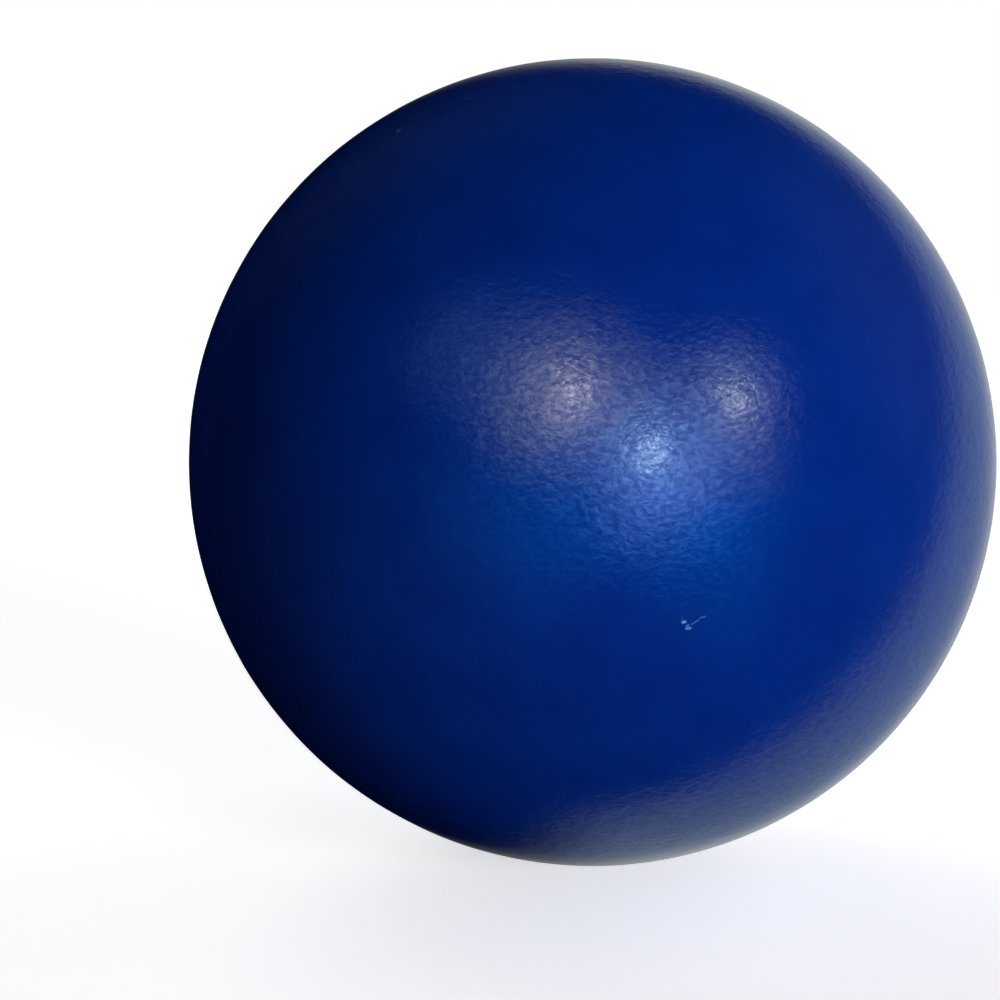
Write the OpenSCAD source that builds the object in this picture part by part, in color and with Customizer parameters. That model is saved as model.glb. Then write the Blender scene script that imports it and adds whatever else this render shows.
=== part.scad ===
// Hollow bouncy ball: two moulded rubber halves, cemented along a bevelled rim, charged with air
// through a soft plug, and covered all over by a thin blue skin.
// The origin is the centre of the ball, and Z points up. The halves were moulded along Y, so the
// joint lies in the plane y = 0, and the plug sits inside the rear half, at +Y.

/* [Ball] */
// Outside diameter of the finished ball
ball_d = 63.5; // [55:0.5:75]
// Thickness of the blue skin over the rubber wall
skin_t = 0.4; // [0.2:0.05:0.8]
// Thickness of the rubber wall of both halves
wall_t = 4; // [3:0.1:6]

/* [Rim joint] */
// Slope of the bevelled rims, in degrees from the plane of the joint
rim_bevel = 30; // [0:1:40]
// Thickness of the cured cement between the two rims
cement_t = 0.2; // [0.1:0.05:0.4]
// Radius of the bead of cement that was squeezed out inside the ball
bead_r = 0.8; // [0.5:0.1:1.2]

/* [Plug seat] */
// Radius of the round boss inside the rear half
boss_r = 6.5; // [5.5:0.1:9]
// Height of the boss over the inside of the wall, on its axis
boss_h = 1.6; // [1.2:0.1:2.5]
// Radius of the soft plug and of its pocket
plug_r = 4; // [2.5:0.1:5]
// Thickness of the soft plug and depth of its pocket
plug_t = 3; // [1.5:0.1:3.5]
// Thickness of the patch that keeps the plug in its pocket
patch_t = 0.8; // [0.5:0.1:1.2]
// Width of the boss's face that stays bare round the patch
patch_inset = 0.4; // [0.2:0.1:1]
// Bevel round the free edge of the patch
patch_bevel = 0.3; // [0.1:0.05:0.4]

/* [Needle hole] */
// Radius of the hole that the filling needle leaves in the wall
needle_r = 0.5; // [0.3:0.05:0.8]
// Radius of the countersink at the outer end of the hole
sink_r = 1.4; // [1:0.1:2]
// Depth of the countersink
sink_depth = 0.9; // [0.5:0.1:1.2]

/* [Hidden] */
$fn = 128;

// Length by which a cutting shape runs past what it cuts
overrun = 1;
skin_r = ball_d / 2;
wall_r = skin_r - skin_t;
cavity_r = wall_r - wall_t;
// Radius of the middle of the wall, where the bevelled rims cross the plane of the joint
rim_r = (wall_r + cavity_r) / 2;
// Half of the cement's thickness, measured along the moulding axis
cement_rise = cement_t / cos(rim_bevel) / 2;
// Places along the moulding axis, from the centre of the ball
boss_face_z = cavity_r - boss_h;
pocket_floor_z = boss_face_z + plug_t;
patch_face_z = boss_face_z - patch_t;
patch_r = boss_r - patch_inset;
sink_floor_z = wall_r - sink_depth;

// Height of the middle of the rim joint at distance r from the moulding axis
function bevel_z(r) = (r - rim_r) * tan(rim_bevel);

// Turns a shape drawn round Z so that its +Z end points to the rear of the ball
module along_moulding_axis() {
    rotate([-90, 0, 0])
        children();
}

// All of space in front of the bevelled joint, with the joint moved back by rise
module in_front_of_joint(rise) {
    reach = skin_r + overrun;
    rotate_extrude()
        polygon([
            [0, -reach],
            [reach, -reach],
            [reach, bevel_z(reach) + rise],
            [0, bevel_z(0) + rise],
        ]);
}

// The hollow rubber wall of both halves together
module rubber_wall() {
    difference() {
        sphere(wall_r);
        sphere(cavity_r);
    }
}

// Hole and countersink that the needle goes through, from the pocket to past the wall
module needle_hole() {
    translate([0, 0, pocket_floor_z])
        cylinder(r = needle_r, h = wall_r - pocket_floor_z + overrun);
    translate([0, 0, sink_floor_z])
        cylinder(r1 = needle_r, r2 = sink_r, h = sink_depth);
}

module outer_skin() {
    color("mediumblue")
        difference() {
            sphere(skin_r);
            sphere(wall_r);
        }
}

module front_half_shell() {
    color("tan")
        along_moulding_axis()
            intersection() {
                rubber_wall();
                in_front_of_joint(-cement_rise);
            }
}

module rear_half_shell() {
    color("tan")
        along_moulding_axis()
            difference() {
                union() {
                    difference() {
                        rubber_wall();
                        in_front_of_joint(cement_rise);
                    }
                    // Boss that holds the plug, rooted in the middle of the wall
                    translate([0, 0, boss_face_z])
                        cylinder(r = boss_r, h = rim_r - boss_face_z);
                }
                // Pocket for the plug
                translate([0, 0, boss_face_z - overrun])
                    cylinder(r = plug_r, h = plug_t + overrun);
                needle_hole();
            }
}

// Cement between the rims, with the bead that stands on the inside of the wall
module seam_cement() {
    bead_z = bevel_z(cavity_r);
    color("wheat")
        along_moulding_axis() {
            difference() {
                intersection() {
                    sphere(wall_r);
                    in_front_of_joint(cement_rise);
                }
                in_front_of_joint(-cement_rise);
                sphere(cavity_r - bead_r / 2);
            }
            intersection() {
                rotate_extrude()
                    translate([sqrt(cavity_r * cavity_r - bead_z * bead_z), bead_z])
                        circle(r = bead_r);
                sphere(cavity_r);
            }
        }
}

module valve_plug() {
    color("sienna")
        along_moulding_axis()
            translate([0, 0, boss_face_z])
                cylinder(r = plug_r, h = plug_t);
}

module plug_patch() {
    color("dimgray")
        along_moulding_axis()
            translate([0, 0, patch_face_z]) {
                cylinder(r1 = patch_r - patch_bevel, r2 = patch_r, h = patch_bevel);
                translate([0, 0, patch_bevel])
                    cylinder(r = patch_r, h = patch_t - patch_bevel);
            }
}

// Cured drop of cement that fills the needle hole, flush with the outside of the wall
module needle_hole_seal() {
    color("wheat")
        along_moulding_axis()
            intersection() {
                needle_hole();
                sphere(wall_r);
            }
}

outer_skin();
front_half_shell();
rear_half_shell();
seam_cement();
valve_plug();
plug_patch();
needle_hole_seal();
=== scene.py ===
"""Bouncy ball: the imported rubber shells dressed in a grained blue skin, resting on a pale floor."""

import math

import bpy
import numpy as np
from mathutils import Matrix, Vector, noise


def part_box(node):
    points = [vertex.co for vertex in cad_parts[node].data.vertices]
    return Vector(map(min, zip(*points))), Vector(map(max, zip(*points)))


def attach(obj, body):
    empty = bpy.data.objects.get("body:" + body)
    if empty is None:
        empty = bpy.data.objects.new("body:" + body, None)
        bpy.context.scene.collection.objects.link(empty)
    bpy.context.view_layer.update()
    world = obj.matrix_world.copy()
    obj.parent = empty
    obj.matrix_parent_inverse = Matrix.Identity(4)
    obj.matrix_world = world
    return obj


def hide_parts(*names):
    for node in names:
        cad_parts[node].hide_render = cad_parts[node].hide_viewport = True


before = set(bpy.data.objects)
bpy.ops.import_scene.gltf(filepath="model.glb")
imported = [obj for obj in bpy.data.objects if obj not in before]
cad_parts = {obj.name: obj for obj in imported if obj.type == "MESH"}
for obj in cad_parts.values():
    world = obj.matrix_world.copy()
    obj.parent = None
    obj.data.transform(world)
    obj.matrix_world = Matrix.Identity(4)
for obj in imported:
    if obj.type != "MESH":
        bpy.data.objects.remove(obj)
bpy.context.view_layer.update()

MM = 0.001
WHITE = (1.0, 1.0, 1.0)

# Sizes of the ball, taken from the frame
skin_low, skin_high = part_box("outer_skin")
BALL_R = (skin_high.z - skin_low.z) / 2
WALL_R = -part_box("front_half_shell")[0].y

# The camera: the ball's outline in the photograph's frame, the lens, how high the camera stands, and the
# nearest that it shows
PHOTO_PX = 1000
BALL_PX = (592.7, 462.3)
BALL_R_PX = 403.5
LENS_MM = 100
SENSOR_MM = 36
CAMERA_UP = math.radians(8)
NEAREST = 10 * MM
FOCAL_PX = PHOTO_PX * LENS_MM / SENSOR_MM

# Relief of the skin that is modelled in the mesh: the size of its lumps and how high they stand
SKIN_STEPS = 300
INSIDE_STEPS = 90
RELIEF = ((6.0 * MM, 0.018 * MM), (2.6 * MM, 0.009 * MM), (1.3 * MM, 0.006 * MM))
# Ridge that the buffed joint of the halves leaves in the skin
RIDGE_H = 0.03 * MM
RIDGE_W = 0.35 * MM
# Shallow dimple over the sealed needle hole, at the rear end of the moulding axis
DIMPLE_R = 1.6 * MM
DIMPLE_DEPTH = 0.05 * MM
# Corner and size of the squares that the outside and the inside of the skin take on its UV map
OUTSIDE_UV = (0.002, 0.958)
INSIDE_UV = (0.964, 0.034)


def camera_numbers():
    """Where the camera stands and how it is turned, so that the ball fills its outline in the frame."""
    half_angle = math.atan(BALL_R_PX / FOCAL_PX)
    away = BALL_R / math.sin(half_angle)
    back = Vector((0, -math.cos(CAMERA_UP), math.sin(CAMERA_UP)))
    # Off the middle of the frame, an outline's middle lies further out than the ball's own
    inward = math.cos(half_angle) ** 2
    seen = Vector(((BALL_PX[0] - PHOTO_PX / 2) * inward, (PHOTO_PX / 2 - BALL_PX[1]) * inward, -FOCAL_PX))
    aside = seen.rotation_difference(Vector((0, 0, -1)))
    return back * away, (-back).to_track_quat("-Z", "Y") @ aside


CAMERA_AT, CAMERA_TURN = camera_numbers()


def on_ball(pixel):
    """The point of the ball's surface that shows at a pixel of the frame."""
    across, down = pixel
    ray = CAMERA_TURN @ Vector((across - PHOTO_PX / 2, PHOTO_PX / 2 - down, -FOCAL_PX)).normalized()
    middle = -CAMERA_AT.dot(ray)
    half_chord = math.sqrt(BALL_R**2 - (CAMERA_AT.length_squared - middle**2))
    return CAMERA_AT + ray * (middle - half_chord)


def mirrored(pixel):
    """The point of the ball at a pixel of the frame, and the direction that it mirrors to the camera."""
    point = on_ball(pixel)
    normal = point.normalized()
    to_camera = (CAMERA_AT - point).normalized()
    return point, 2 * normal.dot(to_camera) * normal - to_camera


# Least divisor in the middle of the square, and the digits by which points of its folded edges are the same
NOT_ZERO = 1e-12
SAME_DIGITS = 9


def ball_grid(steps):
    """Directions spread evenly over a ball, quads between them, and each corner's place on a square map.

    The square is folded round the ball like paper round an octahedron, with equal areas everywhere.
    """
    line = np.linspace(-1, 1, steps + 1)
    u, v = (a.ravel() for a in np.meshgrid(line, line, indexing="ij"))
    depth = 1 - abs(u) - abs(v)
    r = 1 - abs(depth)
    turn = math.pi / 4 * (1 + (abs(v) - abs(u)) / np.maximum(r, NOT_ZERO))
    out = r * np.sqrt(2 - r**2)
    across = np.copysign(out * np.cos(turn), u)
    along = np.copysign(out * np.sin(turn), v)
    spots = np.stack([across, along, np.copysign(1 - r**2, depth)], 1)
    spots, same = np.unique(np.round(spots, SAME_DIGITS) + 0.0, axis=0, return_inverse=True)
    first = (np.arange(steps)[:, None] * (steps + 1) + np.arange(steps)).ravel()
    corners = np.stack([first, first + steps + 1, first + steps + 2, first + 1], 1)
    square = np.stack([u, v], 1)[corners] / 2 + 0.5
    spots /= np.linalg.norm(spots, axis=1)[:, None]
    return spots, same.ravel()[corners], square


def relief(spots):
    """How far the skin stands above the ball's mean surface at each direction."""
    height = np.zeros(len(spots))
    for lump, rise in RELIEF:
        points = spots * (BALL_R / lump)
        height += rise * np.array([noise.noise(p, noise_basis="PERLIN_NEW") for p in map(Vector, points)])
    height += RIDGE_H * np.exp(-((spots[:, 1] * BALL_R / RIDGE_W) ** 2))
    off_axis = np.hypot(spots[:, 0], spots[:, 2]) * BALL_R / DIMPLE_R
    height -= DIMPLE_DEPTH * np.exp(-(off_axis**4)) * (spots[:, 1] > 0)
    return height


def make_skin():
    """The skin as a closed shell: its grained outside, and the inside that lies on the rubber wall."""
    outside, out_quads, out_map = ball_grid(SKIN_STEPS)
    inside, in_quads, in_map = ball_grid(INSIDE_STEPS)
    points = np.concatenate([outside * (BALL_R + relief(outside))[:, None], inside * WALL_R])
    quads = np.concatenate([out_quads, in_quads[:, ::-1] + len(outside)])
    places = np.concatenate(
        [OUTSIDE_UV[0] + out_map * OUTSIDE_UV[1], INSIDE_UV[0] + in_map[:, ::-1] * INSIDE_UV[1]]
    )
    mesh = bpy.data.meshes.new("blue_skin")
    mesh.from_pydata(points.tolist(), [], quads.tolist())
    mesh.uv_layers.new(name="OFBake").data.foreach_set("uv", places.astype(np.float32).ravel())
    mesh.shade_smooth()
    skin = bpy.data.objects.new("blue_skin", mesh)
    bpy.context.scene.collection.objects.link(skin)
    return skin


def node_tools(tree):
    """Two functions for a tree: one fills the inputs of a node, and one adds a node and fills its inputs.

    An input's value can be the output of another node. A name has underscores in place of its spaces.
    """

    def fill(node, *inputs, **named):
        sockets = [node.inputs[key.replace("_", " ")] for key in named]
        for socket, value in [*zip(node.inputs, inputs), *zip(sockets, named.values())]:
            if isinstance(value, bpy.types.NodeSocket):
                tree.links.new(value, socket)
            else:
                socket.default_value = value

    def add(kind, options=(), *inputs, **named):
        node = tree.nodes.new("ShaderNode" + kind)
        for key, value in dict(options).items():
            setattr(node, key, value)
        fill(node, *inputs, **named)
        return node

    return fill, add


def new_material(name):
    """A new node material, its shader, and the two functions that fill and add nodes."""
    material = bpy.data.materials.new(name)
    material.use_nodes = True
    tree = material.node_tree
    return material, tree.nodes["Principled BSDF"], *node_tools(tree)


def two_shades(add, cloud, ends, shades):
    """The colour that goes from the first shade to the second as the cloud goes from end to end."""
    ramp = add("ValToRGB", (), cloud)
    for element, end, shade in zip(ramp.color_ramp.elements, ends, shades):
        element.position = end
        element.color = (*shade, 1)
    return ramp.outputs["Color"]


# Small scuffs on the skin: two pixels of the frame that each runs between, its half width in pixels, and how
# pale it is
SCUFFS = (
    ((683.0, 622.2), (685.0, 621.8), 1.8, 1.0),
    ((686.6, 628.4), (690.0, 628.2), 1.9, 0.62),
    ((687.0, 625.8), (688.4, 625.4), 1.3, 0.45),
    ((692.0, 624.2), (698.0, 620.2), 1.0, 0.3),
    ((700.0, 617.8), (705.0, 616.6), 1.0, 0.28),
    ((683.2, 620.0), (681.4, 616.6), 0.9, 0.1),
    ((397.4, 131.2), (399.4, 130.6), 2.0, 0.5),
)
SCUFF_COLOUR = (0.23, 0.46, 1.0, 1)
# Share of a scuff's half width that is wholly pale
SCUFF_CORE = 1 / 3


def scuff_mask(add, place):
    """How pale the scuffs make each point of the skin, from its distance to the line along each of them."""
    palest = 0.0
    pixel = BALL_R / BALL_R_PX
    for first, last, half_width, pale in SCUFFS:
        start = on_ball(first)
        line = on_ball(last) - start
        away = add("VectorMath", {"operation": "SUBTRACT"}, place, start).outputs["Vector"]
        share = add("VectorMath", {"operation": "DOT_PRODUCT"}, away, line / line.length_squared)
        part = add("Clamp", (), share.outputs["Value"]).outputs["Result"]
        foot = add("VectorMath", {"operation": "SCALE"}, line, Scale=part).outputs["Vector"]
        distance = add("VectorMath", {"operation": "DISTANCE"}, away, foot).outputs["Value"]
        edge = half_width * pixel
        fade = add("MapRange", (), distance, edge, edge * SCUFF_CORE, 0.0, pale).outputs["Result"]
        palest = add("Math", {"operation": "MAXIMUM"}, palest, fade).outputs["Value"]
    return palest


# The skin's two close blues, and where they lie in the clouds of its mottle
SKIN_BLUES = ((0.0002, 0.0255, 0.275), (0.0004, 0.0320, 0.313))
MOTTLE_ENDS = (0.3, 0.7)
# Patterns of the skin in repeats per metre, and how much they are flattened downwards
MOTTLE = 220
LUMPS = 850
WRINKLES = 2100
PORES = 1950
FLATTENED = 1.4
# How strongly the lumps and the pores join the wrinkles, and the height that one unit of them stands for
LUMPS_SHARE = 1.3
PORES_SHARE = 0.5
GRAIN_HEIGHT = 0.017 * MM
# The clear gloss over the rubber, and the rubber's own roughness and mirroring from creases to ridges:
# each goes from the third value to the fourth as the wrinkles go from the first to the second
SKIN_IOR = 1.5
COAT_WEIGHT = 0.25
COAT_ROUGHNESS = 0.1
SKIN_ROUGHNESS = (0.3, 0.8, 0.18, 0.23)
SKIN_MIRRORING = (0.37, 0.68, 0.27, 0.84)


def skin_material():
    """Satin blue rubber with a fine leathery grain."""
    material, shader, fill, add = new_material("blue_skin_rubber")
    place = add("TexCoord").outputs["Object"]
    mottle = add("TexNoise", Vector=place, Scale=MOTTLE, Detail=3.0).outputs["Fac"]
    blues = two_shades(add, mottle, MOTTLE_ENDS, SKIN_BLUES)
    scuffed = add("Mix", {"data_type": "RGBA"}, Factor=scuff_mask(add, place), A=blues, B=SCUFF_COLOUR)

    flattened = add("Mapping", Vector=place, Scale=(1.0, 1.0, FLATTENED)).outputs["Vector"]
    wrinkling = {"Scale": WRINKLES, "Detail": 3.0, "Roughness": 0.55, "Distortion": 0.7}
    wrinkles = add("TexNoise", Vector=flattened, **wrinkling).outputs["Fac"]
    smooth = {"feature": "SMOOTH_F1"}
    pores = add("TexVoronoi", smooth, Vector=flattened, Scale=PORES, Smoothness=0.5).outputs["Distance"]
    lumps = add("TexNoise", Vector=place, Scale=LUMPS, Detail=1.0).outputs["Fac"]
    join = {"operation": "MULTIPLY_ADD"}
    coarse = add("Math", join, lumps, LUMPS_SHARE, wrinkles).outputs["Value"]
    grain = add("Math", join, pores, PORES_SHARE, coarse).outputs["Value"]
    bump = add("Bump", Strength=1.0, Distance=GRAIN_HEIGHT, Height=grain).outputs["Normal"]
    roughness = add("MapRange", (), wrinkles, *SKIN_ROUGHNESS).outputs["Result"]
    mirroring = add("MapRange", (), wrinkles, *SKIN_MIRRORING).outputs["Result"]

    fill(shader, IOR=SKIN_IOR, Coat_Weight=COAT_WEIGHT, Coat_Roughness=COAT_ROUGHNESS)
    fill(shader, Base_Color=scuffed.outputs["Result"], Normal=bump, Coat_Normal=bump)
    fill(shader, Roughness=roughness, Specular_IOR_Level=mirroring)
    return material


# Kinds of rubber inside the ball: the dark and the light shade, the size of the clouds, the roughness, and
# the height of the bumps
SHELL_RUBBER = ((0.40, 0.29, 0.17), (0.50, 0.37, 0.23), 3 * MM, 0.7, 0.02 * MM)
CEMENT = ((0.52, 0.38, 0.18), (0.70, 0.56, 0.32), 1.2 * MM, 0.35, 0.01 * MM)
PLUG_GUM = ((0.22, 0.09, 0.035), (0.33, 0.15, 0.07), 1.5 * MM, 0.4, 0.01 * MM)
PATCH_RUBBER = ((0.045, 0.045, 0.045), (0.075, 0.075, 0.075), 1 * MM, 0.75, 0.02 * MM)
# Where their two shades lie in the clouds, the range of the specks, how much finer the specks are than the
# clouds, and how far they change the roughness
CLOUD_ENDS = (0.32, 0.68)
SPECK_ENDS = (0.3, 0.7)
SPECKS_PER_CLOUD = 4
ROUGHNESS_CHANGE = 0.08


def rubber_material(name, dark, light, cloud_size, roughness, bump_height):
    """Plain moulded rubber inside the ball: two close shades in soft clouds, with a fine uneven surface."""
    material, shader, fill, add = new_material(name)
    place = add("TexCoord").outputs["Object"]
    clouds = add("TexNoise", Vector=place, Scale=1 / cloud_size, Detail=5.0, Roughness=0.6).outputs["Fac"]
    specks = add("TexNoise", Vector=place, Scale=SPECKS_PER_CLOUD / cloud_size, Detail=3.0).outputs["Fac"]
    bump = add("Bump", Distance=bump_height, Height=specks).outputs["Normal"]
    rough_ends = (roughness - ROUGHNESS_CHANGE, roughness + ROUGHNESS_CHANGE)
    gloss = add("MapRange", (), specks, *SPECK_ENDS, *rough_ends).outputs["Result"]
    fill(shader, Base_Color=two_shades(add, clouds, CLOUD_ENDS, (dark, light)), Normal=bump, Roughness=gloss)
    return material


def dress(node, material):
    """Gives a CAD node that stays as it is its material."""
    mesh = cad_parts[node].data
    mesh.materials.clear()
    mesh.materials.append(material)


# The floor: its shade to the camera and to matt surfaces, the strength of its own glow to the camera,
# the distances between which it fades to plain white, and how far it reaches
FLOOR_SEEN = 1.15
FLOOR_MATT = 0.38
FLOOR_GLOW = 0.63
FLOOR_FADE = (0.3, 0.6)
FLOOR_HALF = 3.0


def floor_material():
    """Pale matt floor that keeps the ball's shadow, turns white further off, and is clear from below."""
    material, shader, fill, add = new_material("pale_floor")
    output = shader.outputs["BSDF"].links[0].to_node
    camera = add("LightPath").outputs["Is Camera Ray"]
    place = add("NewGeometry")
    times = {"operation": "MULTIPLY"}
    shade = add("Mix", Factor=camera, A=FLOOR_MATT, B=FLOOR_SEEN).outputs["Result"]
    matt = add("BsdfDiffuse", Color=shade).outputs["BSDF"]
    strength = add("Math", times, camera, FLOOR_GLOW).outputs["Value"]
    glow = add("Emission", Color=(*WHITE, 1), Strength=strength).outputs["Emission"]
    near = add("AddShader", (), matt, glow).outputs["Shader"]
    plain = add("Emission", Color=(*WHITE, 1), Strength=1.0).outputs["Emission"]
    distance = add("VectorMath", {"operation": "LENGTH"}, place.outputs["Position"]).outputs["Value"]
    soft = {"interpolation_type": "SMOOTHSTEP"}
    fade = add("MapRange", soft, distance, *FLOOR_FADE).outputs["Result"]
    far = add("Math", times, camera, fade).outputs["Value"]
    whole = add("MixShader", (), far, near, plain).outputs["Shader"]
    clear = add("BsdfTransparent").outputs["BSDF"]
    sides = add("MixShader", (), place.outputs["Backfacing"], whole, clear).outputs["Shader"]
    fill(output, Surface=sides)
    return material


def make_floor():
    """A square of floor under the ball, as part of the stage."""
    mesh = bpy.data.meshes.new("floor")
    low = skin_low.z
    corners = [(x * FLOOR_HALF, y * FLOOR_HALF, low) for x, y in ((-1, -1), (1, -1), (1, 1), (-1, 1))]
    mesh.from_pydata(corners, [], [(0, 1, 2, 3)])
    mesh.materials.append(floor_material())
    floor = bpy.data.objects.new("floor", mesh)
    floor.visible_glossy = False
    bpy.context.scene.collection.objects.link(floor)


# The world: its strength for matt light, and what reflections show behind the ball. Each bright part has a
# direction, the cosines from it at which it begins and is whole, and its colour. All end softly at the left.
WORLD_MATT = 0.02
BRIGHT_PARTS = (
    ((0.27, 0.85, -0.46), 0.54, 0.78, (0.31, 0.4, 0.42)),
    ((0.0, 0.99, -0.14), 0.82, 1.0, (0.34, 0.27, 0.2)),
)
BRIGHT_SIDE = ((1.0, 0.0, 0.0), -0.15, 0.1)
# Soft hazes of light round the lamps, which only reflections show: the pixel of the frame where the ball
# mirrors the middle, the radius in pixels where the haze ends, its strength in the middle, and its colour
HAZES = {
    "left_halo": ((562, 392), 109, 1.72, (0.9, 1.0, 0.95)),
    "left_glow": ((567, 405), 66, 1.55, (1.0, 0.86, 0.5)),
    "left_blue": ((468, 350), 84, 0.75, (0.3, 0.53, 1.0)),
    "right_halo": ((733, 398), 73, 1.9, (0.85, 1.0, 0.95)),
    "middle": ((655, 405), 85, 0.85, (0.8, 1.0, 1.0)),
    "cool_halo": ((655, 476), 92, 1.35, (0.85, 1.0, 1.0)),
    "cool_glow": ((648, 462), 46, 0.7, (0.66, 0.9, 1.0)),
    "blue_halo": ((686, 494), 114, 3.5, (0.0, 0.3, 1.0)),
    "blue_left": ((600, 495), 100, 0.95, (0.0, 0.3, 1.0)),
    "blue_wide": ((540, 510), 150, 0.75, (0.0, 0.4, 1.0)),
    "blue_glow": ((650, 442), 66, 1.5, (0.0, 0.4, 1.0)),
    "blue_low": ((728, 585), 85, 0.75, (0.0, 0.32, 1.0)),
}
# The power by which a haze fades outwards
HAZE_FALL = 2.5


def make_world():
    """A plain room: soft even light, white to the camera, bright behind the ball at the right, and hazes."""
    world = bpy.data.worlds.new("studio")
    bpy.context.scene.world = world
    world.use_nodes = True
    tree = world.node_tree
    fill, add = node_tools(tree)
    path = add("LightPath")
    place = add("TexCoord").outputs["Generated"]
    times = {"operation": "MULTIPLY"}
    times_plus = {"operation": "MULTIPLY_ADD"}

    def toward(direction):
        unit = Vector(direction).normalized()
        return add("VectorMath", {"operation": "DOT_PRODUCT"}, place, unit).outputs["Value"]

    def soft_edge(direction, begins, whole):
        soft = {"interpolation_type": "SMOOTHSTEP"}
        return add("MapRange", soft, toward(direction), begins, whole).outputs["Result"]

    side = soft_edge(*BRIGHT_SIDE)
    total = add("CombineXYZ").outputs["Vector"]
    for direction, begins, whole, colour in BRIGHT_PARTS:
        part = add("Math", times, side, soft_edge(direction, begins, whole)).outputs["Value"]
        total = add("VectorMath", times_plus, part, colour, total).outputs["Vector"]
    for pixel, radius, strength, colour in HAZES.values():
        edge = math.cos(2 * math.asin(radius / BALL_R_PX))
        inward = add("MapRange", (), toward(mirrored(pixel)[1]), edge, 1.0).outputs["Result"]
        haze = add("Math", {"operation": "POWER"}, inward, HAZE_FALL).outputs["Value"]
        total = add("VectorMath", times_plus, haze, Vector(colour) * strength, total).outputs["Vector"]

    colours = {"data_type": "RGBA"}
    matt = (WORLD_MATT, WORLD_MATT, WORLD_MATT, 1)
    shown = add("Mix", colours, Factor=path.outputs["Is Glossy Ray"], A=matt, B=total).outputs["Result"]
    seen = add("Mix", colours, Factor=path.outputs["Is Camera Ray"], A=shown, B=(*WHITE, 1))
    fill(tree.nodes["Background"], Color=seen.outputs["Result"])


def add_light(name, data, place, matt, gloss):
    """Puts a light at a place, facing the ball. It can light matt surfaces only, or show in gloss only."""
    light = bpy.data.objects.new(name, data)
    light.location = place
    light.rotation_mode = "QUATERNION"
    light.rotation_quaternion = (-place).to_track_quat("-Z", "Y")
    light.visible_diffuse = matt
    light.visible_glossy = gloss
    bpy.context.scene.collection.objects.link(light)


def round_about(azimuth, elevation):
    """The direction of a place seen from the ball's centre: azimuth 0 is in front, 90 on its right."""
    across, up = math.radians(azimuth), math.radians(elevation)
    return Vector((math.sin(across) * math.cos(up), -math.cos(across) * math.cos(up), math.sin(up)))


# Soft even lamps for matt light: azimuth, elevation, share of the plain level, and how wide each looks
SOFT_LAMPS = {
    "key": (37, 4, 0.98, 28),
    "back_right": (125, 15, 0.35, 60),
    "back_left": (205, 25, 0.4, 50),
}
# Small round lamps that only show in the ball: the pixel of the frame where each glows, its strength, and its
# colour
GLOWS = {
    "left_core": ((575, 392), 45.0, (1.0, 0.88, 0.75)),
    "right_core": ((737, 400), 46.0, (0.95, 0.97, 1.0)),
    "cool_core": ((653, 451), 68.0, (0.66, 0.86, 1.0)),
}
# How far from the ball's surface these lamps stand, and how wide they are
GLOW_DISTANCE = 0.7
GLOW_WIDTH = 0.03


def make_lamps():
    """The soft suns for matt light, and the small lamps that only show in the ball."""
    for name, (azimuth, elevation, share, width) in SOFT_LAMPS.items():
        data = bpy.data.lights.new(name, "SUN")
        data.energy = share * math.pi
        data.angle = math.radians(width)
        add_light(name, data, round_about(azimuth, elevation), matt=True, gloss=False)
    for name, (pixel, radiance, colour) in GLOWS.items():
        data = bpy.data.lights.new(name, "AREA")
        data.shape = "DISK"
        data.size = GLOW_WIDTH
        data.energy = math.pi * GLOW_WIDTH**2 * radiance
        data.color = colour
        point, outward = mirrored(pixel)
        add_light(name, data, point + outward * GLOW_DISTANCE, matt=False, gloss=True)


def make_camera():
    """The camera, at the photograph's viewing angle."""
    data = bpy.data.cameras.new("camera")
    data.lens = LENS_MM
    data.sensor_width = SENSOR_MM
    data.clip_start = NEAREST
    camera = bpy.data.objects.new("camera", data)
    camera.location = CAMERA_AT
    camera.rotation_mode = "QUATERNION"
    camera.rotation_quaternion = CAMERA_TURN
    bpy.context.scene.collection.objects.link(camera)
    bpy.context.scene.camera = camera


def main():
    """Dresses the ball, and puts it on the floor in its light."""
    skin = make_skin()
    skin.data.materials.append(skin_material())
    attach(skin, "root")
    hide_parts("outer_skin")
    shell = rubber_material("shell_rubber", *SHELL_RUBBER)
    cement = rubber_material("rubber_cement", *CEMENT)
    dress("front_half_shell", shell)
    dress("rear_half_shell", shell)
    dress("seam_cement", cement)
    dress("needle_hole_seal", cement)
    dress("valve_plug", rubber_material("plug_gum", *PLUG_GUM))
    dress("plug_patch", rubber_material("patch_rubber", *PATCH_RUBBER))
    make_floor()
    make_world()
    make_lamps()
    make_camera()
    bpy.context.scene.view_settings.view_transform = "Standard"


main()
